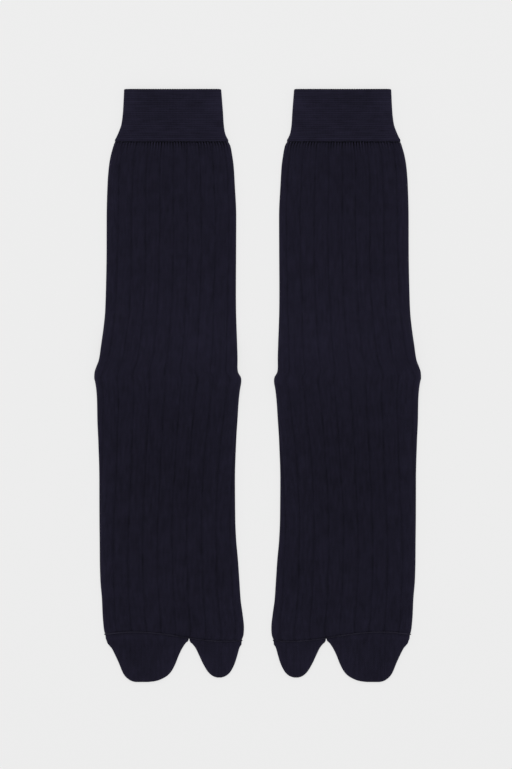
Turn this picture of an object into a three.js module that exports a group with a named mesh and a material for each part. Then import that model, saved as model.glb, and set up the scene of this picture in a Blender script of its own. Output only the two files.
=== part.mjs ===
// A pair of tabi socks (two-toed socks), laid flat side by side: instep up, sole down, toes towards -Y,
// cuffs towards +Y. The surface they lie on is z = 0 and the origin is the middle of the pair.
// Every piece is a hollow flattened tube or pocket of knitted cloth: a front and a back that lie on
// each other, joined by a rounded fold along each side. Lengths are in millimetres.
import * as THREE from "three";

// ---- Driving dimensions -------------------------------------------------------------------------
const LENGTH = 395.6;          // top edge of the cuff to the tip of the longest toe pocket
const SOCK_OFFSET = 57.6;      // middle of the pair to the centre line of one sock
const CUFF_HEIGHT = 35;        // turned elastic welt
const ANKLE = 7.5;             // y of the line where the foot meets the leg and the heel pocket
const HEEL_DEPTH = 42;         // ankle line to the tip of the folded heel pocket
const TOE_SEAM = -167.4;       // mean y of the seam between the foot and the toe caps
const SEAM_SWING = 3.1;        // how far the toe seam arches up and down from its mean
const SEAM_CREST = -24;        // x where the toe seam is nearest the ankle, over the middle toes
const SEAM_HALF_WAVE = 60;     // crest to trough of the toe seam, across the foot
const KNIT_WALL = 1.2;         // single cloth of leg, heel, foot and toe caps
const WELT_WALL = 1.8;         // double cloth of the cuff
const HOLLOW = 0.8;            // air between the front and the back of a flat tube
const HEEL_HOLLOW = 0.3;       // the heel pocket is pressed flatter than the rest
const SEAM_GAP = 0.3;          // clearance between neighbouring pieces
const ARCHED_SEAM_GAP = 0.4;   // the same where the seam arches and its facets cut the corners
const HEEL_GAP = 0.45;         // heel pocket to the leg that slopes down over it
const CAP_MARGIN = 1.8;        // depth of the band where the two toe caps still lie side by side

// The back of the leg rises over the folded heel pocket and sinks again past it.
const HEEL_RISE = 2 * KNIT_WALL + HEEL_HOLLOW + HEEL_GAP;
const RISE_RUN_LEG = 24;       // length of the slope beyond the tip of the heel pocket
const RISE_RUN_FOOT = 30;      // length of the slope on the instep
const RISE_MARGIN = 12;        // cloth still held up beside the pocket
const RISE_RUN_SIDE = 14;      // width of the slope beside the pocket

// Spans of the section line: round each side fold, and across the upper and the under cloth.
const FOLD_SPANS = 3;
const WIDE_SPANS = { upper: 8, under: 8 };     // leg and foot
const CAP_SPANS = { upper: 6, under: 6 };      // toe caps
const PLAIN_SPANS = { upper: 8, under: 4 };    // cuff and heel pocket

const CUFF_TOP = LENGTH / 2;
const CUFF_BASE = CUFF_TOP - CUFF_HEIGHT;
const HEEL_BASE = ANKLE + SEAM_GAP;
const HEEL_TIP = HEEL_BASE + HEEL_DEPTH;

// ---- Sections -----------------------------------------------------------------------------------
// One row for each cross-section. `run` is the distance from the piece's own first end. `little` and
// `big` are the x of the folded edges on the little-toe and the big-toe side, from the sock's centre
// line. `full` is the share of the full thickness: under 1 where the cloth turns over an edge or a
// tip. `seam` is the share by which the row follows the arch of the toe seam.
const COLUMNS = ["run", "little", "big", "full", "seam"];
const COLUMN_DEFAULTS = { full: 1, seam: 0 };

const CUFF_ROWS = sections([
  [0, -31.4, 33.2, 0.75],
  [0.9, -31.8, 33.6],
  [15.3, -32.3, 34.5],
  [23.3, -33.3, 35.0],
  [28.8, -35.2, 35.8],
  [CUFF_HEIGHT, -37.9, 38.3],
]);

const LEG_ROWS = sections([
  [0, -38.0, 38.4],
  [2.7, -38.9, 39.5],
  [9.4, -40.7, 40.7],
  [16.0, -41.8, 41.6],
  [27.5, -42.7, 42.3],
  [49.4, -43.3, 43.3],
  [76.0, -43.4, 43.2],
  [88.6, -43.6, 43.1],
  [100.0, -43.8, 43.1],
  [112.0, -44.2, 43.2],
  [122.7, -45.1, 43.5],
  [135.4, -46.7, 44.0],
  [145.4, -48.2, 44.3],
  [150.0, -50.0, 44.3],
  [CUFF_BASE - SEAM_GAP - HEEL_BASE, -51.3, 44.7],
]);

const HEEL_ROWS = sections([
  [0, -50.2, 43.8],
  [10, -43.0, 36.6],
  [24, -32.5, 26.0],
  [34, -25.5, 19.0],
  [39.6, -21.0, 14.5],
  [41.4, -18.0, 11.5, 0.8],
  [HEEL_DEPTH, -15.5, 9.0, 0.5],
]);

const FOOT_ROWS = sections([
  [0, -51.3, 45.3],
  [2.4, -51.4, 46.6],
  [4.4, -50.9, 46.8],
  [10.4, -50.0, 45.9],
  [17, -49.6, 45.2],
  [30.4, -49.4, 44.3],
  [43.7, -48.8, 43.4],
  [70.4, -48.1, 42.5],
  [97, -48.1, 42.7],
  [110.4, -48.0, 43.3],
  [123.7, -47.9, 44.5],
  [150.4, -46.4, 46.3],
  [160, -46.0, 47.6],
  [169, -45.2, 48.5],
  [ANKLE - TOE_SEAM, -44.2, 47.2, 1, 1],
]);

const TOES_ROWS = sections([
  [0, -44.1, 11.65, 1, 1],
  [CAP_MARGIN, -43.5, 11.5, 1, 1],
  [4.0, -42.8, 9.6, 1, 0.3],
  [7.2, -40.1, 7.5],
  [12.5, -37.3, 4.9],
  [17.8, -34.9, 2.8],
  [23.2, -32.7, -0.1],
  [25.9, -31.1, -2.7],
  [28.5, -28.2, -7.8],
  [29.6, -26.2, -11.8, 0.8],
  [TOE_SEAM - ARCHED_SEAM_GAP + LENGTH / 2, -23.6, -16.8, 0.5],
]);

const BIG_TOE_ROWS = sections([
  [0, 11.95, 47.1, 1, 1],
  [CAP_MARGIN, 12.1, 46.9, 1, 1],
  [3.9, 13.9, 46.7, 1, 0.5],
  [7.2, 16.0, 45.4],
  [12.5, 18.6, 44.0],
  [17.8, 21.1, 42.3],
  [23.2, 24.4, 39.5],
  [25.6, 27.0, 37.1],
  [26.6, 29.0, 34.9, 0.8],
  [27.0, 30.3, 33.5, 0.5],
]);

/** Turn bare rows into records with the named columns. */
function sections(rows) {
  return rows.map((row) => {
    const record = { ...COLUMN_DEFAULTS };
    row.forEach((value, column) => {
      record[COLUMNS[column]] = value;
    });
    return record;
  });
}

// ---- Shared shapes ------------------------------------------------------------------------------
/** Arch of the toe seam: towards the ankle over the middle toes, away from it at the big toe. */
function seamArch(x) {
  return SEAM_SWING * Math.cos((Math.PI * (x - SEAM_CREST)) / SEAM_HALF_WAVE);
}

/** Edge of the heel pocket on one side (`little` or `big`) at a given y, straight between sections. */
function heelEdge(side, y) {
  const run = THREE.MathUtils.clamp(y - HEEL_BASE, 0, HEEL_DEPTH);
  const next = Math.max(1, HEEL_ROWS.findIndex((row) => row.run >= run));
  const from = HEEL_ROWS[next - 1];
  const to = HEEL_ROWS[next];
  return THREE.MathUtils.mapLinear(run, from.run, to.run, from[side], to[side]);
}

/** How far the leg lies above the surface: held up by the heel pocket, sinking beside and past it. */
function legLift(x, y) {
  const beside = Math.max(heelEdge("little", y) - x, x - heelEdge("big", y), 0);
  const beyond = Math.max(y - HEEL_TIP, 0);
  const sideShare = 1 - THREE.MathUtils.smoothstep(beside, RISE_MARGIN, RISE_MARGIN + RISE_RUN_SIDE);
  const endShare = 1 - THREE.MathUtils.smoothstep(beyond, SEAM_GAP, RISE_RUN_LEG);
  return HEEL_RISE * Math.min(sideShare, endShare);
}

/** Extra height inside the foot near the ankle, where it meets both the heel pocket and the leg. */
function footHollow(y) {
  return HOLLOW + HEEL_RISE * (1 - THREE.MathUtils.smoothstep(ANKLE - y, 0, RISE_RUN_FOOT));
}

const level = () => 0;
const flatHollow = () => HOLLOW;
const heelHollow = () => HEEL_HOLLOW;

/** Slope of an edge at row i, millimetres across for each millimetre along the sock. */
function edgeSlope(rows, i, side) {
  const before = rows[Math.max(i - 1, 0)];
  const after = rows[Math.min(i + 1, rows.length - 1)];
  return (after[side] - before[side]) / (after.run - before.run);
}

/**
 * The closed line of one skin at row i: the under cloth from the little-toe side to the big-toe side,
 * up round the fold, back across the upper cloth and down round the other fold.
 */
function sectionRing(piece, i, inside) {
  const { rows, start, toward, wall, hollow, lift, spans } = piece;
  const row = rows[i];
  const y = start + toward * row.run;
  const insetLittle = inside ? wall * Math.hypot(1, edgeSlope(rows, i, "little")) : 0;
  const insetBig = inside ? wall * Math.hypot(1, edgeSlope(rows, i, "big")) : 0;
  const fullHeight = hollow(y) + 2 * wall;
  const height = inside ? hollow(y) : row.full * fullHeight;
  const radius = height / 2;
  const little = row.little + insetLittle + radius;
  const big = row.big - insetBig - radius;
  const ring = [];
  const addPoint = (x, z) => {
    const yHere = y + row.seam * seamArch(x);
    ring.push(new THREE.Vector3(x, yHere, z + lift(x, yHere)));
  };
  const middle = fullHeight / 2;
  for (let k = 0; k < spans.under; k += 1) {
    addPoint(THREE.MathUtils.lerp(little, big, k / spans.under), middle - radius);
  }
  for (let k = 0; k < FOLD_SPANS; k += 1) {
    const angle = (Math.PI * k) / FOLD_SPANS;
    addPoint(big + radius * Math.sin(angle), middle - radius * Math.cos(angle));
  }
  for (let k = 0; k < spans.upper; k += 1) {
    addPoint(THREE.MathUtils.lerp(big, little, k / spans.upper), middle + radius);
  }
  for (let k = 0; k < FOLD_SPANS; k += 1) {
    const angle = (Math.PI * k) / FOLD_SPANS;
    addPoint(little - radius * Math.sin(angle), middle + radius * Math.cos(angle));
  }
  return ring;
}

// ---- Closed solids ------------------------------------------------------------------------------
/** Gathers points and triangles, turning the triangles over when the solid is built mirrored. */
class SolidBuilder {
  constructor(turned) {
    this.turned = turned;
    this.positions = [];
    this.indices = [];
  }

  addRing(ring) {
    const first = this.positions.length / 3;
    ring.forEach((point) => this.positions.push(point.x, point.y, point.z));
    return ring.map((_, k) => first + k);
  }

  addTriangle(a, b, c, inward) {
    const flip = inward !== this.turned;
    this.indices.push(a, flip ? c : b, flip ? b : c);
  }

  /** A band of triangles between two rings of the same number of points. */
  addBand(from, to, inward) {
    from.forEach((a, k) => {
      const next = (k + 1) % from.length;
      this.addTriangle(a, from[next], to[next], inward);
      this.addTriangle(a, to[next], to[k], inward);
    });
  }

  /** A flat lid of triangles over one ring. */
  addLid(ring, inward) {
    for (let k = 1; k < ring.length - 1; k += 1) {
      this.addTriangle(ring[0], ring[k], ring[k + 1], inward);
    }
  }

  geometry() {
    const indexed = new THREE.BufferGeometry();
    indexed.setAttribute("position", new THREE.Float32BufferAttribute(this.positions, 3));
    indexed.setIndex(this.indices);
    const faceted = indexed.toNonIndexed();
    faceted.computeVertexNormals();
    return faceted;
  }
}

/** Move a ring from the sock's own frame to the pair's. `side` is -1 for the right sock, 1 for the left. */
function placed(ring, side) {
  return ring.map((point) => new THREE.Vector3(side * (SOCK_OFFSET - point.x), point.y, point.z));
}

/**
 * Solid of one piece: an outer and an inner skin with an open rim at the first end. The last end is
 * open too, or closed over the rows that are full, so that the tip keeps the thickness of the cloth.
 */
function clothSolid(piece, side) {
  const { rows, toward, closed } = piece;
  const solid = new SolidBuilder((toward > 0) !== (side > 0));
  const outer = rows.map((_, i) => solid.addRing(placed(sectionRing(piece, i, false), side)));
  const innerRows = closed ? rows.filter((row) => row.full === 1).length : rows.length;
  const inner = outer.slice(0, innerRows).map((_, i) => {
    return solid.addRing(placed(sectionRing(piece, i, true), side));
  });
  for (let i = 1; i < outer.length; i += 1) {
    solid.addBand(outer[i - 1], outer[i], false);
  }
  for (let i = 1; i < inner.length; i += 1) {
    solid.addBand(inner[i - 1], inner[i], true);
  }
  solid.addBand(inner[0], outer[0], false);
  if (closed) {
    solid.addLid(outer.at(-1), false);
    solid.addLid(inner.at(-1), true);
  } else {
    solid.addBand(outer.at(-1), inner.at(-1), false);
  }
  return solid.geometry();
}

// ---- Pieces -------------------------------------------------------------------------------------
const TOWARD_TOES = -1;
const TOWARD_CUFF = 1;

const knit = {
  toward: TOWARD_TOES,
  wall: KNIT_WALL,
  hollow: flatHollow,
  lift: level,
  spans: PLAIN_SPANS,
  closed: false,
};

const cap = {
  ...knit,
  start: TOE_SEAM - ARCHED_SEAM_GAP,
  spans: CAP_SPANS,
  closed: true,
  colour: 0x1a1824,
};

const PIECES = {
  cuff: { ...knit, rows: CUFF_ROWS, start: CUFF_TOP, wall: WELT_WALL, colour: 0x1b1925 },
  leg: {
    ...knit,
    rows: LEG_ROWS,
    start: CUFF_BASE - SEAM_GAP,
    lift: legLift,
    spans: WIDE_SPANS,
    colour: 0x1b1925,
  },
  heel: {
    ...knit,
    rows: HEEL_ROWS,
    start: HEEL_BASE,
    toward: TOWARD_CUFF,
    hollow: heelHollow,
    closed: true,
    colour: 0x1a1823,
  },
  foot: {
    ...knit,
    rows: FOOT_ROWS,
    start: ANKLE,
    hollow: footHollow,
    spans: WIDE_SPANS,
    colour: 0x191723,
  },
  toes: { ...cap, rows: TOES_ROWS },
  big_toe: { ...cap, rows: BIG_TOE_ROWS },
};

/** Matt knitted cotton of one colour. */
function cottonKnit(colour) {
  return new THREE.MeshStandardMaterial({ color: colour, roughness: 0.95, metalness: 0 });
}

/** One whole sock as a group of named meshes. */
function sock(name, side) {
  const group = new THREE.Group();
  for (const [pieceName, piece] of Object.entries(PIECES)) {
    const mesh = new THREE.Mesh(clothSolid(piece, side), cottonKnit(piece.colour));
    mesh.name = `${name}_${pieceName}`;
    group.add(mesh);
  }
  return group;
}

const pair = new THREE.Group();
pair.add(sock("right", -1));
pair.add(sock("left", 1));

export default pair;
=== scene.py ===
"""A pair of knitted tabi socks (two-toed socks), laid flat side by side with the instep up.

Each sock is a flattened tube of navy cotton knit in wide ribs, with a turned elastic welt as its
cuff, a heel pocket folded flat under the leg, and two plain toe caps linked on along an arched seam.
"""

import bmesh
import bpy
import numpy as np
from bpy.props import FloatProperty, FloatVectorProperty, IntProperty, PointerProperty
from bpy.types import Operator, Panel, PropertyGroup
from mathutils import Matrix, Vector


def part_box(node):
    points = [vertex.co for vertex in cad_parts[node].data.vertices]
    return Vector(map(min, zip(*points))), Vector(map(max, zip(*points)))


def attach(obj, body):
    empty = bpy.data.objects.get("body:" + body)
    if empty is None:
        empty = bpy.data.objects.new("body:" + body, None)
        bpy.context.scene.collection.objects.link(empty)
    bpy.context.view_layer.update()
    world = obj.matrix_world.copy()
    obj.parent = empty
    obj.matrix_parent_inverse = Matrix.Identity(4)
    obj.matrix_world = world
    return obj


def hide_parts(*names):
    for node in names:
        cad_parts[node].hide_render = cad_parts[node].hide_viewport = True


bl_info = {
    "name": "Tabi socks",
    "version": (1, 0, 0),
    "blender": (4, 5, 0),
    "location": "View3D > Sidebar > Tabi socks",
    "description": "Knits a pair of tabi socks over their flat solids",
    "category": "Object",
}

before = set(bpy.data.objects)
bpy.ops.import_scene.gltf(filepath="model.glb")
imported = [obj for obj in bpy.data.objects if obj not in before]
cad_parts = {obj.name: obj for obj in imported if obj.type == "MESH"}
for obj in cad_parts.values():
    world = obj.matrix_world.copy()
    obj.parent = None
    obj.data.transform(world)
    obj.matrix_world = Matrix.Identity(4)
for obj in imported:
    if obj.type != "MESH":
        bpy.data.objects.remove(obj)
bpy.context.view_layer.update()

MM = 0.001
BODY = "root"
SOCKS = (("right", -1), ("left", 1))

# Knit. Lengths are in millimetres.
RIB_PITCH = 9.4             # mean width of a rib on the flat cloth, groove included
RIB_CROWN = 0.06            # height of a rib's middle over the cloth's mean
TWIST_TOP = -0.16           # how far the ribs lie round the tube, in ribs, at the top of the leg
TWIST_TOE = 0.86            # and at the toe seam
TWIST_START = 104.0         # y where the ribs begin to drift round the tube, and the run of the drift
TWIST_RUN = 270.0
GATHER_RUN = 2.2            # length over which the gathers under the welt die away
GATHER_PITCH = 1.36         # wales from one gather to the next
GATHER_RELIEF = 0.22
GORE_RIDGE = 0.28           # height of the ridge along each edge of the heel pocket
ALONG_WALES = (1.0, 0.09, 1.0)      # scale of a streak of uneven yarn, across and along the wales
ALONG_COURSES = (0.07, 1.0, 1.0)

# Grids: columns across the upper or the under cloth, and how many of them lie in each side fold.
TOP_COLUMNS = (104, 8)
UNDER_COLUMNS = (84, 5)
TOES_COLUMNS = (76, 9)
BIG_TOE_COLUMNS = (56, 9)
WELT_COLUMNS = ((88, 8), (72, 6))
ROW_STEP = 1.5              # from one row to the next on leg and foot
HEEL_ROWS = 25
CAP_ROWS = 22
WELT_ROWS = 66
INNER_ROWS = 30             # rows on the hidden inner face of the welt

# Folds and joins.
FOLD_UP = 5.5               # width over which the upper cloth rounds down to its side fold
FOLD_DOWN = 2.6
ANKLE_RUN = 10.0            # length over which leg and heel pocket join into the foot
INSTEP_RUN = 30.0           # length over which the foot comes down to its plain thickness
CREASE_LOW = 0.15           # how far leg and heel pocket dip where they meet inside
LIFT_BESIDE = (9.0, 24.0)   # the leg sinks from the heel pocket to the floor between these distances
LIFT_BEYOND = 26.0
LEG_REACH = 0.25            # how far the leg goes up under the welt's rounded edge
SEAM_LITTLE_END = -44.0     # x of the toe seam's outermost points
SEAM_BIG_END = 47.5
SEAM_FOLLOW = 14.0          # length over which the foot's rows bend to follow the toe seam
SECOND_LINE = 2.7           # distance from the toe seam to the raised row of stitches behind it
CAP_NOSE = 4.5              # length over which a cap's tip closes
CAP_FOLD = 4.5
CAP_FOLLOW = 7.5
WELT_LIP = 0.5              # height of the welt's rounded lower edge
WELT_COURSE = 1.45
WELT_WALES = 140
SCALLOP = 0.12              # height of the stitches' loops along the welt's top edge
SCALLOP_WALES = 1.75

# Places that come from the solids, in millimetres along +Y, the same for both socks.
CUFF_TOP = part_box("right_cuff")[1].y / MM
CUFF_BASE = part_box("right_cuff")[0].y / MM
LEG_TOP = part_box("right_leg")[1].y / MM
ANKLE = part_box("right_foot")[1].y / MM
HEEL_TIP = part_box("right_heel")[1].y / MM
TOES_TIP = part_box("right_toes")[0].y / MM
BIG_TOE_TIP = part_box("right_big_toe")[0].y / MM
CUFF_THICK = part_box("right_cuff")[1].z / MM
CLOTH_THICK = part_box("right_toes")[1].z / MM
ANKLE_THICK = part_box("right_foot")[1].z / MM
HEEL_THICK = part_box("right_heel")[1].z / MM
HEEL_RISE = ANKLE_THICK - CLOTH_THICK

# The sock's centre line, the toe seam and its arch, as in the solids.
SOCK_OFFSET = 57.6
TOE_SEAM = -167.4
SEAM_SWING = 3.1
SEAM_CREST = -24.0
SEAM_HALF_WAVE = 60.0

# Side folds of the flat tube. Columns: distance below the top edge of the cuff, x of the fold on the
# little-toe side and on the big-toe side, from the sock's centre line.
SIDE_FOLDS = np.array([
    (0.0, -31.5, 33.3),
    (15.3, -32.3, 34.5),
    (23.3, -33.3, 35.0),
    (28.8, -35.2, 35.8),
    (35.1, -38.0, 38.4),
    (38.0, -38.9, 39.5),
    (44.7, -40.7, 40.7),
    (51.3, -41.8, 41.6),
    (62.8, -42.7, 42.3),
    (84.7, -43.3, 43.3),
    (111.3, -43.4, 43.2),
    (135.3, -43.8, 43.1),
    (147.3, -44.2, 43.2),
    (158.0, -45.1, 43.5),
    (170.7, -46.7, 44.0),
    (180.7, -48.2, 44.3),
    (185.3, -50.0, 44.3),
    (189.0, -51.2, 44.7),
    (192.7, -51.4, 46.7),
    (194.7, -50.9, 46.8),
    (200.7, -50.0, 45.9),
    (207.3, -49.6, 45.2),
    (220.7, -49.4, 44.3),
    (234.0, -48.8, 43.4),
    (260.7, -48.1, 42.5),
    (287.3, -48.1, 42.7),
    (300.7, -48.0, 43.3),
    (314.0, -47.9, 44.5),
    (327.3, -47.5, 45.4),
    (340.7, -46.4, 46.3),
    (350.3, -46.0, 47.6),
    (359.3, -45.2, 48.5),
    (363.6, -44.4, 48.3),
    (367.4, -43.4, 47.2),
    (370.0, -42.8, 46.8),
])

# The folded heel pocket. Columns: distance from the ankle line, x of its two edges.
HEEL_FOLDS = np.array([
    (0.0, -51.2, 45.3),
    (4.0, -47.6, 41.4),
    (10.0, -43.0, 36.6),
    (24.0, -32.5, 26.0),
    (34.0, -25.5, 19.0),
    (39.6, -20.6, 14.1),
    (42.0, -16.0, 9.5),
])

# Toe caps. Columns: distance below the top edge of the cuff, x of the two edges.
TOES_FOLDS = np.array([
    (362.0, -44.7, 11.7),
    (367.4, -43.4, 11.6),
    (369.7, -42.7, 9.6),
    (372.7, -40.1, 7.5),
    (378.0, -37.3, 4.9),
    (383.3, -34.9, 2.8),
    (388.7, -32.7, -0.1),
    (391.4, -31.1, -2.7),
    (394.0, -28.2, -7.4),
    (395.1, -26.0, -11.2),
    (395.6, -23.8, -15.5),
])
BIG_TOE_FOLDS = np.array([
    (364.0, 11.9, 48.2),
    (367.7, 12.1, 47.1),
    (369.9, 13.9, 46.8),
    (372.7, 16.0, 45.5),
    (378.0, 18.6, 44.0),
    (383.3, 21.1, 42.3),
    (388.7, 24.4, 39.5),
    (391.1, 26.9, 37.1),
    (392.1, 28.8, 35.1),
    (392.5, 30.3, 33.6),
])

# Creases of the laid cloth. Columns: x and y of the middle, direction in degrees from +X, half length,
# half width, depth (a ridge is negative), all on the upper cloth.
CREASES = np.array([
    (-33.0, 14.5, -12.0, 12.0, 1.6, 0.50),
    (-24.0, 18.5, 4.0, 9.0, 2.6, -0.25),
    (-12.0, -77.5, -3.0, 8.0, 1.8, 0.30),
    (-4.0, 53.5, 2.0, 4.0, 1.3, 0.22),
    (-24.0, 116.0, -4.0, 5.0, 1.6, 0.20),
    (30.0, 72.0, 6.0, 4.0, 1.5, 0.20),
    (28.0, -121.5, 12.0, 5.0, 2.2, 0.28),
    (33.0, -132.0, 2.0, 6.0, 2.0, 0.24),
    (-27.0, -189.0, 0.0, 4.0, 1.2, 0.25),
    (29.5, -187.5, 0.0, 3.5, 1.2, 0.25),
    (12.0, 22.0, 8.0, 11.0, 3.0, 0.22),
    (34.0, 12.0, -28.0, 8.0, 2.6, 0.28),
    (-38.0, -8.0, 62.0, 9.0, 3.4, 0.30),
])

# Broad soft swells and hollows of the upper cloth. Columns: x, y, half width, half length, height.
SWELLS = np.array([
    (-27.0, 161.0, 8.0, 3.5, -0.30),
    (-10.0, 161.0, 6.0, 3.0, -0.30),
    (16.0, 159.0, 6.0, 3.0, -0.25),
    (2.0, 138.0, 12.0, 10.0, -0.30),
    (-32.0, 120.0, 10.0, 26.0, 0.30),
    (28.0, 100.0, 10.0, 30.0, 0.25),
    (22.0, 32.0, 16.0, 22.0, 0.45),
    (-36.0, -12.0, 8.0, 12.0, -0.40),
    (-14.0, -24.0, 12.0, 12.0, -0.35),
    (17.0, -30.0, 10.0, 14.0, -0.30),
    (-24.0, -62.0, 14.0, 20.0, 0.30),
    (22.0, -82.0, 14.0, 20.0, 0.30),
    (30.0, -126.0, 9.0, 12.0, -0.35),
    (11.0, -148.0, 9.0, 9.0, -0.35),
    (-36.0, -152.0, 9.0, 8.0, -0.30),
    (-22.0, -176.0, 9.0, 7.0, -0.25),
    (33.0, -184.0, 7.0, 6.0, 0.20),
])

# Broad patches of painted light and shade on the upper cloth, partly uneven nap. Columns: x, y, half
# width, half length, lighter (+) or darker.
PAINTED_SHADE_AND_NAP = np.array([
    (-30.0, 188.0, 10.0, 9.0, 0.5),
    (31.0, 188.0, 10.0, 9.0, 0.5),
    (-6.0, 189.0, 12.0, 8.0, -0.4),
    (0.0, 30.0, 44.0, 34.0, 0.5),
    (22.0, 30.0, 14.0, 16.0, 0.4),
    (-47.0, 4.0, 8.0, 6.0, 0.5),
    (44.0, 4.0, 6.0, 5.0, 0.5),
    (0.0, -60.0, 44.0, 60.0, -0.5),
    (31.0, -128.0, 10.0, 12.0, -0.5),
    (11.0, -148.0, 10.0, 10.0, -0.4),
    (-37.0, -152.0, 9.0, 9.0, -0.4),
    (33.0, -186.0, 9.0, 7.0, 0.4),
    (-22.0, -178.0, 10.0, 8.0, -0.4),
    (-4.0, -186.0, 8.0, 8.0, 0.3),
    (2.0, 138.0, 14.0, 12.0, -0.3),
])

# Stage.
FLOOR_HALF = 2.5            # metres
FLOOR_GAP = 0.03 * MM       # keeps the cloth's flat underside clear of the floor
FLOOR_GLOW = 0.84           # share of the floor's tone that it gives by itself, as a light table does
FLOOR_MATT = 0.2            # share of its tone that it gives back of the light that falls on it
SKY_STRENGTH = 0.55
PANELS = (("panel_cuffs", (0, 0.9, 1.5), 9.0), ("panel_toes", (0, -0.9, 1.7), 4.0))
LENS = 100.0
SENSOR = 36.0
VIEW_LENGTH = 0.5127        # metres of the floor that the long side of the view takes in
VIEW_MIDDLE = (-0.0011, 0.0008)


def linear(hex_colour):
    """sRGB hex text to a linear colour with alpha 1."""
    srgb = np.array([int(hex_colour[i:i + 2], 16) for i in (1, 3, 5)]) / 255
    value = np.where(srgb <= 0.04045, srgb / 12.92, ((srgb + 0.055) / 1.055) ** 2.4)
    return (*value.tolist(), 1.0)


class TabiSockSizes(PropertyGroup):
    """Sizes of the knit."""

    ribs: IntProperty(
        name="Ribs", description="Wide ribs round the leg", default=19, min=8, max=40)
    wales_per_rib: IntProperty(
        name="Wales per rib", description="Columns of stitches in one rib, its groove included",
        default=6, min=2, max=12)
    groove_depth: FloatProperty(
        name="Groove depth", description="Depth of the groove between two ribs",
        default=0.32 * MM, min=0, unit="LENGTH", precision=5)
    groove_width: FloatProperty(
        name="Groove width", description="Half width of the groove between two ribs",
        default=0.95 * MM, min=0.0001, unit="LENGTH", precision=5)
    course: FloatProperty(
        name="Course height", description="Height of one row of stitches",
        default=1.2 * MM, min=0.0002, unit="LENGTH", precision=5)
    stitch_depth: FloatProperty(
        name="Stitch depth", description="Relief of a single stitch",
        default=0.22 * MM, min=0, unit="LENGTH", precision=5)
    wall: FloatProperty(
        name="Cloth thickness", description="Thickness of the single knit",
        default=0.9 * MM, min=0.0001, unit="LENGTH", precision=5)
    welt_wall: FloatProperty(
        name="Welt thickness", description="Thickness of the double welt",
        default=1.8 * MM, min=0.0005, unit="LENGTH", precision=5)
    seam_radius: FloatProperty(
        name="Linked seam radius", description="Radius of the roll where the toe caps are linked on",
        default=0.42 * MM, min=0.0001, unit="LENGTH", precision=5)


class TabiSockColours(PropertyGroup):
    """Colours of the yarn and of the floor."""

    yarn: FloatVectorProperty(
        name="Yarn", description="Dyed cotton yarn on its lit side",
        default=linear("#222030"), size=4, subtype="COLOR", min=0, max=1)
    # Painted shade: the yarn's colour where the stitches lie low, standing in for the shade between them.
    shade: FloatVectorProperty(
        name="Painted shade between stitches", description="Painted shade of the yarn deep between the stitches",
        default=linear("#12111b"), size=4, subtype="COLOR", min=0, max=1)
    # Painted highlight: the seam's yarn is set lighter than the cloth's for the light its raised roll
    # catches.
    seam: FloatVectorProperty(
        name="Linked seam", description="Stretched yarn of the linked seam, with a painted highlight",
        default=linear("#2a2836"), size=4, subtype="COLOR", min=0, max=1)
    sheen: FloatVectorProperty(
        name="Fuzz", description="Colour of the fine fuzz at the folds",
        default=linear("#a7a3c4"), size=4, subtype="COLOR", min=0, max=1)
    floor: FloatVectorProperty(
        name="Floor", description="Pale matt floor",
        default=linear("#ececec"), size=4, subtype="COLOR", min=0, max=1)


# ---- Curves and surfaces --------------------------------------------------------------------------


def smooth_step(value, low, high):
    """0 below low, 1 above high, and 3t^2 - 2t^3 between them."""
    t = np.clip((value - low) / (high - low), 0, 1)
    return t * t * (3 - 2 * t)


def smooth_table(table, column, at):
    """Value of a table's column at each place in its first column.

    A cubic runs between each two rows. Its slope at a row is the harmonic mean of the slopes on both
    sides, or 0 where they differ in sign, so the line never overshoots its rows.
    """
    place, value = table[:, 0], table[:, column]
    step, rise = np.diff(place), np.diff(value)
    slope = rise / step
    same_way = slope[:-1] * slope[1:] > 0
    mean = 2 * slope[:-1] * slope[1:] / np.where(same_way, slope[:-1] + slope[1:], 1)
    tangent = np.concatenate([slope[:1], np.where(same_way, mean, 0), slope[-1:]])
    at = np.clip(at, place[0], place[-1])
    k = np.clip(np.searchsorted(place, at, side="right") - 1, 0, len(step) - 1)
    t = (at - place[k]) / step[k]
    return (
        value[k] * (1 + 2 * t) * (1 - t) ** 2
        + value[k + 1] * t * t * (3 - 2 * t)
        + step[k] * t * (1 - t) * (tangent[k] * (1 - t) - tangent[k + 1] * t)
    )


def tube_rows(y):
    """Edges of the flat tube at each y."""
    below = CUFF_TOP - y
    return smooth_table(SIDE_FOLDS, 1, below), smooth_table(SIDE_FOLDS, 2, below)


def heel_edge(column, y):
    """x of an edge of the heel pocket at y, kept at its tip's value past the tip."""
    return smooth_table(HEEL_FOLDS, column, y - ANKLE)


def seam_arch(x):
    """Half a cosine wave across the foot: the toe seam is nearest the ankle over the middle toes."""
    return SEAM_SWING * np.cos(np.pi * (x - SEAM_CREST) / SEAM_HALF_WAVE)


def half_line(columns, fold_columns):
    """Shares that make one half of a flat ring, from one outermost point to the other.

    Returns the share of the first fold's width, of the flat stretch, of the last fold's width, and of
    the height, at each column. A fold is a quarter of an ellipse, the stretch between is straight.
    """
    k = np.arange(columns + 1)
    first = np.clip(k / fold_columns, 0, 1) * np.pi / 2
    last = np.clip((k - columns + fold_columns) / fold_columns, 0, 1) * np.pi / 2
    flat = np.clip((k - fold_columns) / (columns - 2 * fold_columns), 0, 1)
    return 1 - np.cos(first), flat, np.sin(last), np.sin(first) * np.cos(last)


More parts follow.
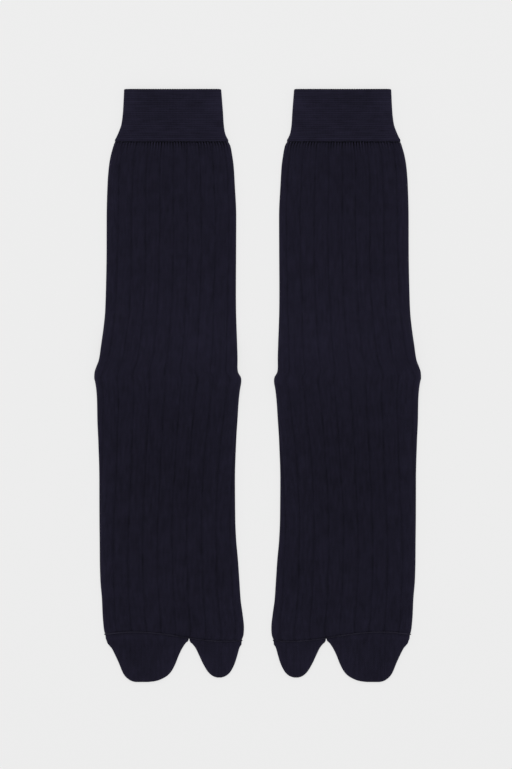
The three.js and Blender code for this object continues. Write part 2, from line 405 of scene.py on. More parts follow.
def flat_rings(rows, top, under):
    """Closed section lines of a flat tube, one a row, as x and z grids.

    rows holds arrays over the rows: little and big (x of the outermost points), middle (their height),
    up and down (heights of the upper and the under cloth above and below them), fold_up and fold_down
    (widths of the folds). The line starts at the little-toe side, crosses the upper cloth in `top`
    columns and comes back along the under cloth in `under` columns.
    """
    little, big, middle, up, down = (
        np.asarray(rows[key], float)[:, None] for key in ("little", "big", "middle", "up", "down"))
    half_width = (big - little) / 2
    fold_up = np.minimum(np.asarray(rows["fold_up"], float)[:, None], 0.98 * half_width)
    fold_down = np.minimum(np.asarray(rows["fold_down"], float)[:, None], 0.98 * half_width)
    first, flat, last, height = half_line(*top)
    x_top = little + fold_up * (first + last) + 2 * (half_width - fold_up) * flat
    z_top = middle + up * height
    first, flat, last, height = half_line(*under)
    x_under = big - fold_down * (first + last) - 2 * (half_width - fold_down) * flat
    z_under = middle - down * height
    return (
        np.concatenate([x_top[:, :-1], x_under[:, :-1]], axis=1),
        np.concatenate([z_top[:, :-1], z_under[:, :-1]], axis=1),
    )


def around(x, z):
    """Length along each closed ring to each column, and to its end: the running sum of its chords."""
    dx = np.diff(x, axis=1, append=x[:, :1])
    dz = np.diff(z, axis=1, append=z[:, :1])
    chords = np.hypot(dx, dz)
    return np.concatenate([np.zeros((len(x), 1)), np.cumsum(chords, axis=1)], axis=1)


def patch(x, y, z, u, v, **layers):
    """A closed-ring grid: points, its corner coordinates (one more column than points) and layers."""
    return {"points": np.stack([x, np.broadcast_to(y, x.shape), z], axis=-1), "u": u, "v": v,
            "layers": {name: np.broadcast_to(value, x.shape) for name, value in layers.items()}}


def turned_over(grid):
    """The same grid with its rows in the other order, so that its faces turn over."""
    return {
        "points": grid["points"][::-1],
        "u": np.broadcast_to(grid["u"], (len(grid["points"]), grid["points"].shape[1] + 1))[::-1],
        "v": np.broadcast_to(grid["v"], (len(grid["points"]), grid["points"].shape[1] + 1))[::-1],
        "layers": {key: value[::-1] for key, value in grid["layers"].items()},
    }


def grid_faces(rows, columns, loop_rows=False):
    """Corners of the quads of a grid whose columns close into a ring, and its rows too if asked."""
    row = np.arange(rows if loop_rows else rows - 1)[:, None]
    column = np.arange(columns)[None, :]
    after_row, after_column = (row + 1) % rows, (column + 1) % columns
    corners = np.stack([
        row * columns + column, after_row * columns + column,
        after_row * columns + after_column, row * columns + after_column], axis=-1)
    return corners.reshape(-1, 4)


def corner_values(values, loop_rows=False):
    """Values of a grid with one column more than points, read at the corners of its quads."""
    rows = np.arange(len(values) if loop_rows else len(values) - 1)
    after = (rows + 1) % len(values)
    return np.stack([
        values[rows, :-1], values[after, :-1], values[after, 1:], values[rows, 1:]], axis=-1).ravel()


def sock_to_pair(points, side):
    """From a sock's own frame in millimetres to the pair's in metres; side is -1 right, 1 left."""
    placed = points * MM
    placed[:, 0] = side * (SOCK_OFFSET * MM - placed[:, 0])
    return placed


def knit_mesh(name, patches, side, loop_rows=False):
    """One welded mesh of several grids, each point then moved out along its normal by its relief.

    The grids' quads are joined, points closer than a micron become one, and `relief` (millimetres)
    moves each point along the welded surface's own normal, so that the grids stay joined.
    """
    points, faces, u, v, start = [], [], [], [], 0
    layers = {key: [] for key in patches[0]["layers"]}
    for grid in patches:
        rows, columns = grid["points"].shape[:2]
        points.append(grid["points"].reshape(-1, 3))
        faces.append(grid_faces(rows, columns, loop_rows) + start)
        u.append(corner_values(np.broadcast_to(grid["u"], (rows, columns + 1)), loop_rows))
        v.append(corner_values(np.broadcast_to(grid["v"], (rows, columns + 1)), loop_rows))
        for key in layers:
            layers[key].append(grid["layers"][key].ravel())
        start += rows * columns
    quads = np.concatenate(faces)
    coordinates = np.stack([np.concatenate(u), np.concatenate(v)], axis=-1).reshape(-1, 4, 2)
    if side > 0:
        quads, coordinates = quads[:, ::-1], coordinates[:, ::-1]
    mesh = bpy.data.meshes.new(name)
    mesh.from_pydata(sock_to_pair(np.concatenate(points), side), [], quads.tolist())
    mesh.uv_layers.new(name="knit").data.foreach_set("uv", coordinates.ravel())
    for key, values in layers.items():
        attribute = mesh.attributes.new(key, "FLOAT", "POINT")
        attribute.data.foreach_set("value", np.concatenate(values).astype(np.float32))
    weld(mesh)
    move_out(mesh)
    mesh.polygons.foreach_set("use_smooth", np.ones(len(mesh.polygons), bool))
    mesh.update()
    piece = bpy.data.objects.new(name, mesh)
    bpy.context.scene.collection.objects.link(piece)
    return piece


def weld(mesh):
    """Join points closer than a micron and drop the faces that this closes to nothing."""
    shape = bmesh.new()
    shape.from_mesh(mesh)
    bmesh.ops.remove_doubles(shape, verts=shape.verts, dist=1e-6)
    bmesh.ops.dissolve_degenerate(shape, edges=shape.edges, dist=1e-7)
    shape.to_mesh(mesh)
    shape.free()


def move_out(mesh):
    """Move each point along its normal by its `relief` in millimetres, and keep it off the floor."""
    count = len(mesh.vertices)
    place = np.empty(count * 3, np.float32)
    normal = np.empty(count * 3, np.float32)
    relief = np.empty(count, np.float32)
    mesh.vertices.foreach_get("co", place)
    mesh.vertex_normals.foreach_get("vector", normal)
    mesh.attributes["relief"].data.foreach_get("value", relief)
    moved = place.reshape(-1, 3) + normal.reshape(-1, 3) * relief[:, None] * MM
    moved[:, 2] = np.maximum(moved[:, 2], 0)
    mesh.vertices.foreach_set("co", moved.ravel())
    mesh.attributes.remove(mesh.attributes["relief"])


# ---- Relief and tone of the cloth -----------------------------------------------------------------


def crease_relief(x, y):
    """Sum of the creases: each falls off as a bell along its length and across its width."""
    total = np.zeros(np.broadcast(x, y).shape)
    for middle_x, middle_y, degrees, half_length, half_width, depth in CREASES:
        turn = np.radians(degrees)
        along = (x - middle_x) * np.cos(turn) + (y - middle_y) * np.sin(turn)
        across = (y - middle_y) * np.cos(turn) - (x - middle_x) * np.sin(turn)
        bend = 0.012 * along ** 2
        total -= depth * np.exp(-((along / half_length) ** 2) - ((across - bend) / half_width) ** 2)
    return total


def swell_relief(x, y):
    """Sum of the broad swells and hollows, each an elliptical bell."""
    total = np.zeros(np.broadcast(x, y).shape)
    for middle_x, middle_y, half_width, half_length, height in SWELLS:
        total += height * np.exp(-(((x - middle_x) / half_width) ** 2)
                                 - ((y - middle_y) / half_length) ** 2)
    return total


def rib_relief(wale, sizes):
    """A bell-shaped groove at each whole rib, and a slight crown on the rib between two grooves."""
    in_rib = wale / sizes.wales_per_rib
    off_groove = (in_rib - np.round(in_rib)) * sizes.wales_per_rib
    width = sizes.groove_width / (RIB_PITCH / sizes.wales_per_rib * MM)
    groove = np.exp(-((off_groove / width) ** 2))
    crown = RIB_CROWN * np.cos(2 * np.pi * (in_rib - 0.5))
    return crown - sizes.groove_depth / MM * groove


def upper_share(z, middle):
    """1 on the upper cloth, 0 on the under cloth, changing over the fold."""
    return smooth_step(z - middle, -0.4, 0.6)


def tone_of(x, y, upper):
    """Broad patches of painted light and shade on the upper cloth, partly uneven nap, each an elliptical
    bell, and a painted sheen at the folds.

    The painted sheen falls off with the distance from the ring's outermost points, faster near them.
    """
    total = np.zeros(np.broadcast(x, y).shape)
    for middle_x, middle_y, half_width, half_length, tone in PAINTED_SHADE_AND_NAP:
        total += tone * np.exp(-(((x - middle_x) / half_width) ** 2)
                               - ((y - middle_y) / half_length) ** 2)
    off_fold = np.minimum(x - x.min(axis=1, keepdims=True), x.max(axis=1, keepdims=True) - x)
    # Painted sheen: the folds are made lighter where the rounded cloth would catch light.
    painted_fold_sheen = 0.8 * np.exp(-off_fold / 1.6) + 0.5 * np.exp(-off_fold / 6.0)
    return total * upper + painted_fold_sheen


# ---- Leg, foot, heel pocket, toe caps, welt and toe seam ------------------------------------------


def leg_lift(x, y):
    """Height of the leg above the surface: on the heel pocket, sinking beside and past it."""
    beside = np.maximum(heel_edge(1, y) - x, x - heel_edge(2, y))
    beyond = np.maximum(y - HEEL_TIP, 0)
    return HEEL_RISE * (1 - smooth_step(beside, *LIFT_BESIDE)) * (1 - smooth_step(beyond, 0, LIFT_BEYOND))


def wale_of(x, z, y, sizes):
    """Which column of stitches each corner lies on, counted from the middle of the upper cloth.

    The ribs share each ring's length evenly and lie a little further round towards the toes.
    """
    length = around(x, z)
    total = length[:, -1:]
    middle_of_top = length[:, TOP_COLUMNS[0] // 2][:, None]
    twist = TWIST_TOP + (TWIST_TOE - TWIST_TOP) * smooth_step(TWIST_START - y, 0, TWIST_RUN)
    return ((length - middle_of_top) / total * sizes.ribs + twist) * sizes.wales_per_rib


def leg_patch(sizes):
    """Leg tube from the cuff to the ankle line, lying over the heel pocket."""
    rows = round((LEG_TOP - ANKLE) / ROW_STEP)
    y = np.linspace(CUFF_BASE + LEG_REACH, ANKLE, rows + 1)
    little, big = tube_rows(y)
    joined = 1 - smooth_step(y - ANKLE, 0, ANKLE_RUN)
    tucked = 1 - smooth_step(LEG_TOP - y, -0.55, 1.4)
    half = CLOTH_THICK / 2
    x, z = flat_rings({
        "little": little + 0.35 * tucked,
        "big": big - 0.35 * tucked,
        "middle": half - (half - 0.05) * joined,
        "up": half + (half - 0.05) * joined - 0.3 * tucked,
        "down": half - (half - CREASE_LOW) * joined - 0.5 * tucked,
        "fold_up": np.full_like(y, FOLD_UP),
        "fold_down": np.full_like(y, FOLD_DOWN),
    }, TOP_COLUMNS, UNDER_COLUMNS)
    across = y[:, None]
    wale = wale_of(x, z, across, sizes)
    upper = upper_share(z, half)
    gathers = np.exp(-np.maximum(LEG_TOP - across, 0) / GATHER_RUN)
    relief = rib_relief(wale[:, :-1], sizes) * (1 - 0.5 * gathers)
    relief = relief + upper * (crease_relief(x, across) + swell_relief(x, across))
    relief = relief + gathers * GATHER_RELIEF * np.sin(2 * np.pi * wale[:, :-1] / (GATHER_PITCH + 1))
    uneven = 0.6 + 0.4 * np.sin(x / 3.7 + 1.1) * np.sin(x / 9.0)
    # The tone is lowered by the gathers: painted shade under the welt's lower edge and in its gathers.
    return patch(x, across, z + leg_lift(x, across), wale, (across - ANKLE) / (sizes.course / MM),
                 relief=relief * (1 - 0.8 * joined[:, None] * (1 - upper)), rib=np.ones_like(x),
                 tone=tone_of(x, across, upper) - 0.6 * gathers, gather=gathers * uneven)


def foot_patch(sizes):
    """Foot tube from the ankle line to the arched toe seam."""
    rows = round((ANKLE - TOE_SEAM) / ROW_STEP)
    y = np.linspace(ANKLE, TOE_SEAM, rows + 1)
    follow = smooth_step(TOE_SEAM + SEAM_FOLLOW - y, 0, SEAM_FOLLOW)
    tucked = smooth_step(TOE_SEAM + 1.6 - y, 0, 1.6)
    joined = 1 - smooth_step(ANKLE - y, 0, INSTEP_RUN)
    half = CLOTH_THICK / 2
    little = smooth_table(SIDE_FOLDS, 1, CUFF_TOP - y - follow * seam_arch(SEAM_LITTLE_END))
    big = smooth_table(SIDE_FOLDS, 2, CUFF_TOP - y - follow * seam_arch(SEAM_BIG_END))
    x, z = flat_rings({
        "little": little + 0.3 * tucked,
        "big": big - 0.3 * tucked,
        "middle": half + half * joined,
        "up": half + (ANKLE_THICK - CLOTH_THICK - half) * joined - 0.3 * tucked,
        "down": half + half * joined - 0.3 * tucked,
        "fold_up": np.full_like(y, FOLD_UP),
        "fold_down": np.full_like(y, FOLD_DOWN),
    }, TOP_COLUMNS, UNDER_COLUMNS)
    across = y[:, None] + follow[:, None] * seam_arch(x)
    wale = wale_of(x, z, y[:, None], sizes)
    upper = upper_share(z, half + half * joined[:, None])
    relief = rib_relief(wale[:, :-1], sizes) * upper
    relief = relief + upper * (crease_relief(x, across) + swell_relief(x, across))
    course = np.concatenate([across, across[:, :1]], axis=1)
    return patch(x, across, z, wale, (course - ANKLE) / (sizes.course / MM),
                 relief=relief, rib=upper, tone=tone_of(x, across, upper), gather=np.zeros_like(x))


def heel_patch(sizes):
    """Heel pocket from the ankle line to its tip: two layers that close in a rounded nose."""
    nose = HEEL_THICK / 2 + 0.6
    run = np.linspace(0, HEEL_TIP - ANKLE - nose, HEEL_ROWS)
    turn = np.linspace(0, np.pi / 2, 7)[1:]
    run = np.concatenate([run, run[-1] + nose * np.sin(turn)])
    full = np.concatenate([np.ones(HEEL_ROWS), np.cos(turn)])
    joined = 1 - smooth_step(run, 0, ANKLE_RUN)
    tube_little, tube_big = tube_rows(ANKLE)
    near = 1 - smooth_step(run, 0, 4)
    half = HEEL_THICK / 2
    x, z = flat_rings({
        "little": smooth_table(HEEL_FOLDS, 1, run) + near * (tube_little - HEEL_FOLDS[0, 1]),
        "big": smooth_table(HEEL_FOLDS, 2, run) + near * (tube_big - HEEL_FOLDS[0, 2]),
        "middle": half + (CLOTH_THICK - half) * joined,
        "up": (half - (half + CREASE_LOW) * joined) * full,
        "down": (half + (CLOTH_THICK - half) * joined) * full,
        "fold_up": np.full_like(run, FOLD_DOWN),
        "fold_down": np.full_like(run, FOLD_DOWN),
    }, UNDER_COLUMNS, UNDER_COLUMNS)
    across = (ANKLE + run)[:, None]
    length = around(x, z)
    wale = (length - length[:, -1:] / 4) / (RIB_PITCH / sizes.wales_per_rib)
    edge = np.minimum(np.abs(x - x.min(axis=1, keepdims=True)), np.abs(x - x.max(axis=1, keepdims=True)))
    gore = GORE_RIDGE * np.exp(-((edge - 2.2) / 0.9) ** 2) * (1 - joined[:, None])
    return patch(x, across, z, wale, (across - ANKLE) / (sizes.course / MM),
                 relief=gore, rib=np.zeros_like(x), tone=np.zeros_like(x), gather=np.zeros_like(x))


def cap_patch(folds, tip, sizes, columns):
    """A toe cap from the arched seam to its tip, where the rows close on a quarter circle."""
    below_seam = CUFF_TOP - TOE_SEAM
    straight = np.linspace(below_seam, CUFF_TOP - tip - CAP_NOSE, CAP_ROWS)
    turn = np.linspace(0, np.pi / 2, 15)[1:]
    below = np.concatenate([straight, straight[-1] + CAP_NOSE * np.sin(turn)])
    full = np.concatenate([np.ones(CAP_ROWS), np.cos(turn)])
    follow = 1 - smooth_step(below - below_seam, 0, CAP_FOLLOW)
    tucked = 1 - smooth_step(below - below_seam, 0, 1.4)
    half = CLOTH_THICK / 2
    start_little, start_big = folds[0, 1], folds[0, 2]
    little = smooth_table(folds, 1, below - follow * seam_arch(start_little))
    big = smooth_table(folds, 2, below - follow * seam_arch(start_big))
    x, z = flat_rings({
        "little": little + 0.2 * tucked,
        "big": big - 0.2 * tucked,
        "middle": np.full_like(below, half),
        "up": (half - 0.3 * tucked) * full,
        "down": (half - 0.3 * tucked) * full,
        "fold_up": np.full_like(below, CAP_FOLD),
        "fold_down": np.full_like(below, CAP_FOLD),
    }, columns, columns)
    y = (CUFF_TOP - below)[:, None] + follow[:, None] * seam_arch(x)
    upper = upper_share(z, half)
    relief = upper * (crease_relief(x, y) + swell_relief(x, y)) * full[:, None]
    row_behind_seam = (CUFF_TOP - y) - below_seam + seam_arch(x)
    relief = relief + 0.22 * np.exp(-((row_behind_seam - SECOND_LINE) / 0.55) ** 2)
    wale = x / (RIB_PITCH / sizes.wales_per_rib)
    wale = np.concatenate([wale, wale[:, :1]], axis=1)
    course = np.concatenate([y, y[:, :1]], axis=1) / (sizes.course / MM)
    # Painted highlight along the raised row of stitches behind the toe seam, stronger towards the little
    # toe.
    painted_highlight_line = 0.9 * np.exp(-((row_behind_seam - SECOND_LINE) / 0.6) ** 2) * smooth_step(-x, -12, 30)
    return patch(x, y, z, wale, course, relief=relief, tone=tone_of(x, y, upper) + painted_highlight_line)


def welt_patch(sizes):
    """The double welt as one closed wall, followed once round its own edge.

    The path runs up the outer face, over the rounded top edge, down the inner face and back under the
    lower edge. `depth` is how deep a point lies in the wall, from 0 outside to the wall's thickness.
    """
    wall = sizes.welt_wall / MM
    top, base = CUFF_TOP - wall / 2, CUFF_BASE + WELT_LIP
    turn = np.linspace(0, np.pi, 11)
    outer = np.linspace(base, top, WELT_ROWS)
    inner = np.linspace(top, base, INNER_ROWS)
    y = np.concatenate([outer, top + wall / 2 * np.sin(turn[1:-1]), inner,
                        base - WELT_LIP * np.sin(turn[1:-1])])
    depth = np.concatenate([np.zeros(WELT_ROWS), wall / 2 * (1 - np.cos(turn[1:-1])),
                            np.full(INNER_ROWS, wall),
                            wall / 2 * (1 + np.cos(turn[1:-1]))])
    little, big = tube_rows(y)
    half = CUFF_THICK / 2
    x, z = flat_rings({
        "little": little + depth,
        "big": big - depth,
        "middle": np.full_like(y, half),
        "up": half - depth,
        "down": half - depth,
        "fold_up": np.maximum(4.0 - depth, 0.6),
        "fold_down": np.maximum(2.4 - depth, 0.4),
    }, *WELT_COLUMNS)
    across = y[:, None]
    length = around(x, z)
    wale = length / length[:, -1:] * WELT_WALES
    outside = (depth < wall / 2)[:, None]
    scallop = SCALLOP * np.cos(2 * np.pi * wale[:, :-1] / SCALLOP_WALES)
    near_edge = smooth_step(across, CUFF_TOP - 1.6, CUFF_TOP)
    upper = upper_share(z, half) * outside
    relief = near_edge * scallop + upper * 0.5 * swell_relief(x, across)
    relief = relief + 0.16 * np.exp(-((across - CUFF_BASE - 1.6) / 0.5) ** 2) * outside
    course = np.broadcast_to(across / WELT_COURSE, (len(y), x.shape[1] + 1))
    # Painted highlight along the raised ridge just above the welt's lower edge.
    painted_highlight_line = 0.3 * np.exp(-((across - CUFF_BASE - 1.7) / 0.6) ** 2) * outside
    return turned_over(patch(x, across, z, wale, course, relief=relief,
                             tone=tone_of(x, across, upper) + painted_highlight_line))


def seam_patch(sizes):
    """A round profile carried along the section line of the foot at the toe seam."""
    half = CLOTH_THICK / 2
    x, z = flat_rings({
        "little": [smooth_table(SIDE_FOLDS, 1, CUFF_TOP - TOE_SEAM - seam_arch(SEAM_LITTLE_END))],
        "big": [smooth_table(SIDE_FOLDS, 2, CUFF_TOP - TOE_SEAM - seam_arch(SEAM_BIG_END))],
        "middle": [half], "up": [half], "down": [half], "fold_up": [FOLD_UP], "fold_down": [FOLD_DOWN],
    }, (300, 24), (220, 16))
    path = np.stack([x[0], TOE_SEAM + seam_arch(x[0]), z[0]], axis=-1)
    ahead = np.roll(path, -1, axis=0) - np.roll(path, 1, axis=0)
    ahead /= np.linalg.norm(ahead, axis=1, keepdims=True)
    along = np.array([0.0, 1.0, 0.0])
    out = np.cross(ahead, along)
    out /= np.linalg.norm(out, axis=1, keepdims=True)
    sideways = np.cross(out, ahead)
    radius = sizes.seam_radius / MM
    angle = np.linspace(0, 2 * np.pi, 11)[:-1]
    ring = (np.cos(angle)[None, :, None] * sideways[:, None, :]
            + 0.8 * np.sin(angle)[None, :, None] * out[:, None, :])
    points = (path - 0.02 * out)[:, None, :] + radius * ring
    points[..., 2] = np.maximum(points[..., 2], 0.02)
    distance = around(x, z)[0, :-1, None]
    lay = 0.09 * np.sin(2 * np.pi * (distance / 1.6 + angle / (2 * np.pi)))
    # Painted highlight along the roll, stronger towards the little toe and broken along its length.
    uneven = 0.9 * smooth_step(-points[..., 0], 4, 36) - 0.3
    uneven = uneven + 0.6 * np.sin(distance / 7.0 + 0.6) * np.sin(distance / 3.1)
    return turned_over(patch(
        points[..., 0], points[..., 1], points[..., 2],
        np.broadcast_to(distance / 0.8, (len(path), 11)),
        np.broadcast_to(np.linspace(0, 2, 11), (len(path), 11)),
        relief=lay, tone=uneven))


# ---- Materials ------------------------------------------------------------------------------------


def add_node(material, kind, values=None, links=None, **settings):
    """One node with its settings, its unlinked values and its links from other nodes' sockets."""
    made = material.node_tree.nodes.new(kind)
    for name, value in settings.items():
        setattr(made, name, value)
    for socket, value in (values or {}).items():
        made.inputs[socket].default_value = value
    for socket, source in (links or {}).items():
        material.node_tree.links.new(source, made.inputs[socket])
    return made


def maths(material, operation, first, second=0.0, third=0.0):
    """Output of one Math node; a number stays on its socket and a socket is linked."""
    made = add_node(material, "ShaderNodeMath", operation=operation)
    for socket, value in enumerate((first, second, third)):
        if isinstance(value, (int, float)):
            made.inputs[socket].default_value = value
        else:
            material.node_tree.links.new(value, made.inputs[socket])
    return made.outputs[0]


def new_material(name):
    """An empty node material with its output."""
    material = bpy.data.materials.new(name)
    material.use_nodes = True
    material.node_tree.nodes.clear()
    return material


def stitch_height(material, wale, course, lean=0.9):
    """Plain knit: in each wale two legs lean together, one V for each course.

    Across a wale the height is a bump on each leg, nought between wales and in the middle. Along it
    the height follows a cosine of the course, moved back in step with the distance from the middle.
    """
    off = maths(material, "ABSOLUTE", maths(material, "SUBTRACT", maths(material, "FRACT", wale), 0.5))
    leg = maths(material, "SINE", maths(material, "MULTIPLY", off, 2 * np.pi))
    leg = maths(material, "POWER", maths(material, "MAXIMUM", leg, 0.0), 0.6)
    along = maths(material, "MULTIPLY_ADD", off, -2 * lean, course)
    wave = maths(material, "COSINE", maths(material, "MULTIPLY", along, 2 * np.pi))
    return maths(material, "MULTIPLY", leg, maths(material, "MULTIPLY_ADD", wave, 0.3, 0.7))


def rib_height(material, wale, course, sizes):
    """Wide-rib knit: plain stitches, with one wale in each rib turned back and lying low."""
    stitches = stitch_height(material, wale, course)
    ribbed = add_node(material, "ShaderNodeAttribute", attribute_name="rib").outputs["Fac"]
    gather = add_node(material, "ShaderNodeAttribute", attribute_name="gather").outputs["Fac"]
    in_rib = maths(material, "MULTIPLY", wale, 1 / sizes.wales_per_rib)
    off = maths(material, "ABSOLUTE", maths(
        material, "SUBTRACT", in_rib, maths(material, "ROUND", in_rib)))
    groove = maths(material, "SUBTRACT", 1.0, maths(
        material, "MINIMUM", maths(material, "MULTIPLY", off, 10.0), 1.0))
    groove = maths(material, "MULTIPLY", groove, ribbed)
    # Low in the grooves: through the colour mix this paints shade into them as well as bumping them.
    low = maths(material, "MULTIPLY_ADD", groove, -0.35, stitches)
    # Gather ticks under the welt: bumped, and through the colour mix painted with shade between the
    # gathers.
    tick = maths(material, "SINE", maths(material, "MULTIPLY", wale, 2 * np.pi / GATHER_PITCH))
    return maths(material, "MULTIPLY_ADD", maths(material, "MULTIPLY", tick, gather), 2.6, low)


def plain_height(material, wale, course, _sizes):
    """Plain knit of the toe caps."""
    return stitch_height(material, wale, course)


def welt_height(material, wale, course, _sizes):
    """Elastic welt: fine upright wales crossed by the rounded laid-in courses, which stand out more."""
    upright = maths(material, "COSINE", maths(material, "MULTIPLY", wale, 2 * np.pi))
    laid = maths(material, "ABSOLUTE", maths(material, "SINE", maths(
        material, "MULTIPLY", course, np.pi)))
    return maths(material, "MULTIPLY_ADD", upright, 0.18, maths(
        material, "MULTIPLY_ADD", laid, 0.55, 0.2))


def rope_height(material, wale, course, _sizes):
    """Linked seam: slanting strands that lie round the roll."""
    slant = maths(material, "ADD", wale, maths(material, "MULTIPLY", course, 0.5))
    return maths(material, "ABSOLUTE", maths(material, "SINE", maths(material, "MULTIPLY", slant, np.pi)))


def cotton_knit(name, height_of, sizes, colours, yarn, streak, stitch_share=1.0):
    """Matt knitted cotton: yarn-dyed, with light fuzz, and painted shade between the stitches.

    The fuzz noise has tufts of about 0.7 mm and the heather noise patches of about 6 mm; streaks are
    yarn of uneven thickness, drawn out along the wales or the courses.
    """
    material = new_material(name)
    knit = add_node(material, "ShaderNodeUVMap", uv_map="knit")
    split = add_node(material, "ShaderNodeSeparateXYZ", links={"Vector": knit.outputs["UV"]})
    height = height_of(material, split.outputs["X"], split.outputs["Y"], sizes)
    place = add_node(material, "ShaderNodeTexCoord")
    fuzz = add_node(
        material, "ShaderNodeTexNoise", {"Scale": 1400.0, "Detail": 3.0, "Roughness": 0.65},
        {"Vector": place.outputs["Object"]})
    heather = add_node(
        material, "ShaderNodeTexNoise", {"Scale": 160.0, "Detail": 4.0, "Roughness": 0.6},
        {"Vector": place.outputs["Object"]})
    tone = add_node(material, "ShaderNodeAttribute", attribute_name="tone")
    stretched = add_node(
        material, "ShaderNodeMapping", {"Scale": streak}, {"Vector": knit.outputs["UV"]})
    streaks = add_node(
        material, "ShaderNodeTexNoise", {"Scale": 1.0, "Detail": 2.0, "Roughness": 0.7},
        {"Vector": stretched.outputs["Vector"]})
    # Painted shade: the yarn colour shows where the stitch is high and the darker shade colour where it
    # is low; fuzz and tone shift it a little, and tone also carries the painted light and shade of
    # patches, folds and seam.
    lit = maths(material, "MULTIPLY_ADD", height, 0.75, -0.02)
    lit = maths(material, "MULTIPLY_ADD", fuzz.outputs["Fac"], 0.4, lit)
    lit = maths(material, "MULTIPLY_ADD", maths(
        material, "SUBTRACT", streaks.outputs["Fac"], 0.5), 1.1, lit)
    lit = maths(material, "MULTIPLY_ADD", maths(
        material, "SUBTRACT", heather.outputs["Fac"], 0.5), 0.7, lit)
    lit = maths(material, "MULTIPLY_ADD", tone.outputs["Fac"], 0.3, lit)
    colour = add_node(
        material, "ShaderNodeMix", {6: colours.shade, 7: yarn}, {0: lit}, data_type="RGBA",
        clamp_factor=False)
    relief = maths(material, "MULTIPLY_ADD", fuzz.outputs["Fac"], 0.35, height)
    bump = add_node(
        material, "ShaderNodeBump",
        {"Strength": 1.0, "Distance": sizes.stitch_depth * stitch_share}, {"Height": relief})
    shader = add_node(
        material, "ShaderNodeBsdfPrincipled",
        {"Roughness": 0.95, "IOR": 1.46, "Specular IOR Level": 0.08, "Sheen Weight": 0.22,
         "Sheen Roughness": 0.4, "Sheen Tint": colours.sheen},
        {"Base Color": colour.outputs[2], "Normal": bump.outputs["Normal"]})
    add_node(material, "ShaderNodeOutputMaterial", links={"Surface": shader.outputs["BSDF"]})
    return material


# ---- Steps of the build ---------------------------------------------------------------------------


def finish_piece(piece, material, nodes, wall=0.0):
    piece.data.materials.append(material)
    if wall:
        thick = piece.modifiers.new("wall", "SOLIDIFY")
        thick.thickness = wall
        thick.offset = -1
        thick.use_even_offset = False
    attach(piece, BODY)
    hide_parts(*nodes)


class TABI_OT_legs_and_feet(Operator):
    """Knit the ribbed leg, the heel pocket and the foot of both socks in one piece each."""

    bl_idname = "tabi.legs_and_feet"
    bl_label = "Knit legs, heels and feet"

    def execute(self, context):
        sizes, colours = context.scene.tabi_sizes, context.scene.tabi_colours
        # Soft matt navy with narrow darker grooves, sunk in relief and darkened with painted shade: the
        # eye reads broad ribs and, close up, stitches.
        knit = cotton_knit("wide_rib_cotton_knit", rib_height, sizes, colours, colours.yarn, ALONG_WALES)
        for name, side in SOCKS:
            patches = [leg_patch(sizes), foot_patch(sizes), turned_over(heel_patch(sizes))]
            piece = knit_mesh(f"{name}_leg_heel_foot", patches, side)
            finish_piece(piece, knit, [f"{name}_leg", f"{name}_heel", f"{name}_foot"],
                         sizes.wall)
        return {"FINISHED"}


class TABI_OT_toe_caps(Operator):
    """Knit the plain caps of the four toes and of the big toe on both socks."""

    bl_idname = "tabi.toe_caps"
    bl_label = "Knit toe caps"

    def execute(self, context):
        sizes, colours = context.scene.tabi_sizes, context.scene.tabi_colours
        # The same yarn with no grooves, so that the caps look smoother than the foot.
        knit = cotton_knit("plain_cotton_knit", plain_height, sizes, colours, colours.yarn, ALONG_WALES)
        for name, side in SOCKS:
            toes = knit_mesh(f"{name}_toes_cap",
                             [cap_patch(TOES_FOLDS, TOES_TIP, sizes, TOES_COLUMNS)],
                             side)
            finish_piece(toes, knit, [f"{name}_toes"], sizes.wall)
            big = knit_mesh(f"{name}_big_toe_cap",
                            [cap_patch(BIG_TOE_FOLDS, BIG_TOE_TIP, sizes, BIG_TOE_COLUMNS)], side)
            finish_piece(big, knit, [f"{name}_big_toe"],
                         sizes.wall)
        return {"FINISHED"}


class TABI_OT_cuffs(Operator):
    """Make the turned elastic welts, double cloth folded over at the top edge."""

    bl_idname = "tabi.cuffs"
    bl_label = "Turn the welts"

    def execute(self, context):
        sizes, colours = context.scene.tabi_sizes, context.scene.tabi_colours
        # Laid-in elastic draws the welt flat and even, with fine lines round it instead of ribs.
        knit = cotton_knit(
            "elastic_welt_knit", welt_height, sizes, colours, colours.yarn, ALONG_COURSES, 0.6)
        for name, side in SOCKS:
            piece = knit_mesh(f"{name}_welt", [welt_patch(sizes)], side, loop_rows=True)
            finish_piece(piece, knit, [f"{name}_cuff"])
        return {"FINISHED"}


class TABI_OT_toe_seams(Operator):
    """Link the toe caps on: a thin roll of yarn that follows the arched seam round the foot."""

    bl_idname = "tabi.toe_seams"
    bl_label = "Link the toe seams"

    def execute(self, context):
        sizes, colours = context.scene.tabi_sizes, context.scene.tabi_colours
        # Stretched loops catch a little more light than the cloth: a thin lighter line, given here as a
        # painted highlight in the seam's lighter yarn colour.
        yarn = cotton_knit("linked_cotton_yarn", rope_height, sizes, colours, colours.seam, ALONG_WALES)
        for name, side in SOCKS:
            piece = knit_mesh(f"{name}_toe_seam", [seam_patch(sizes)], side, loop_rows=True)
            piece.data.materials.append(yarn)
            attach(piece, BODY)
        return {"FINISHED"}


class TABI_OT_stage(Operator):
    """Set the pale floor, the soft lights and the camera straight above the pair."""

    bl_idname = "tabi.stage"
    bl_label = "Set the stage"

    def execute(self, context):
        floor_of(context.scene.tabi_colours)
        soft_lights(context.scene)
        camera_above(context.scene)
        context.scene.view_settings.view_transform = "Standard"
        return {"FINISHED"}


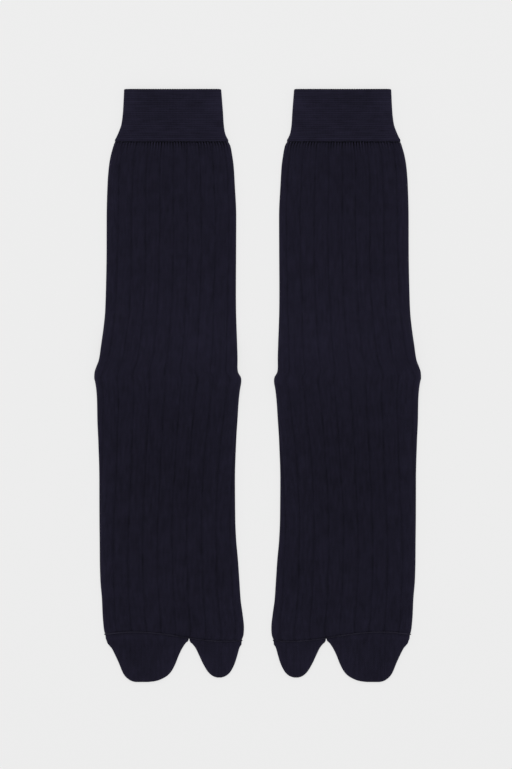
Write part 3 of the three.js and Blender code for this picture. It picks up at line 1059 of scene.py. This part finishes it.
def floor_of(colours):
    """A wide flat floor under the socks, a pale matt board that is lit evenly and shows no edge."""
    mesh = bpy.data.meshes.new("floor")
    signs = ((-1, -1), (1, -1), (1, 1), (-1, 1))
    corners = [(x * FLOOR_HALF, y * FLOOR_HALF, -FLOOR_GAP) for x, y in signs]
    mesh.from_pydata(corners, [], [(0, 1, 2, 3)])
    floor = bpy.data.objects.new("floor", mesh)
    bpy.context.scene.collection.objects.link(floor)
    material = new_material("pale_matt_board")
    shader = add_node(
        material, "ShaderNodeBsdfPrincipled",
        {"Base Color": tuple(c * FLOOR_MATT for c in colours.floor[:3]) + (1,), "Roughness": 1.0,
         "Specular IOR Level": 0.0, "Emission Color": colours.floor, "Emission Strength": FLOOR_GLOW})
    add_node(material, "ShaderNodeOutputMaterial", links={"Surface": shader.outputs["BSDF"]})
    mesh.materials.append(material)


def soft_lights(scene):
    """An even pale sky and two wide soft panels, one over the cuffs and one over the toes."""
    world = bpy.data.worlds.new("even_sky")
    world.use_nodes = True
    world.node_tree.nodes["Background"].inputs["Color"].default_value = (1, 1, 1, 1)
    world.node_tree.nodes["Background"].inputs["Strength"].default_value = SKY_STRENGTH
    scene.world = world
    for name, place, power in PANELS:
        light = bpy.data.lights.new(name, "AREA")
        light.shape = "RECTANGLE"
        light.size, light.size_y = 1.6, 0.8
        light.energy = power
        panel = bpy.data.objects.new(name, light)
        panel.location = place
        aim = -panel.location
        panel.rotation_euler = aim.to_track_quat("-Z", "Y").to_euler()
        scene.collection.objects.link(panel)


def camera_above(scene):
    """A long lens straight above the pair, far enough up to take in VIEW_LENGTH of the floor."""
    camera = bpy.data.cameras.new("camera")
    camera.lens = LENS
    camera.sensor_width = SENSOR
    camera.clip_end = 50.0
    eye = bpy.data.objects.new("camera", camera)
    eye.location = (*VIEW_MIDDLE, VIEW_LENGTH * LENS / SENSOR + 0.003)
    scene.collection.objects.link(eye)
    scene.camera = eye


class TABI_PT_panel(Panel):
    """Sizes, colours and steps of the pair of socks."""

    bl_idname = "TABI_PT_panel"
    bl_label = "Tabi socks"
    bl_space_type = "VIEW_3D"
    bl_region_type = "UI"
    bl_category = "Tabi socks"

    def draw(self, context):
        layout = self.layout
        for group in (context.scene.tabi_sizes, context.scene.tabi_colours):
            for name in group.__annotations__:
                layout.prop(group, name)
        for step in STEPS:
            layout.operator(step.bl_idname)


STEPS = (TABI_OT_stage, TABI_OT_legs_and_feet, TABI_OT_toe_caps, TABI_OT_cuffs, TABI_OT_toe_seams)
CLASSES = (TabiSockSizes, TabiSockColours, *STEPS, TABI_PT_panel)


def register():
    for cls in CLASSES:
        bpy.utils.register_class(cls)
    bpy.types.Scene.tabi_sizes = PointerProperty(type=TabiSockSizes)
    bpy.types.Scene.tabi_colours = PointerProperty(type=TabiSockColours)


def unregister():
    del bpy.types.Scene.tabi_colours
    del bpy.types.Scene.tabi_sizes
    for cls in reversed(CLASSES):
        bpy.utils.unregister_class(cls)


def main():
    """Make the stage and every piece."""
    register()
    bpy.ops.tabi.stage()
    bpy.ops.tabi.legs_and_feet()
    bpy.ops.tabi.toe_caps()
    bpy.ops.tabi.cuffs()
    bpy.ops.tabi.toe_seams()


if __name__ == "__main__":
    main()
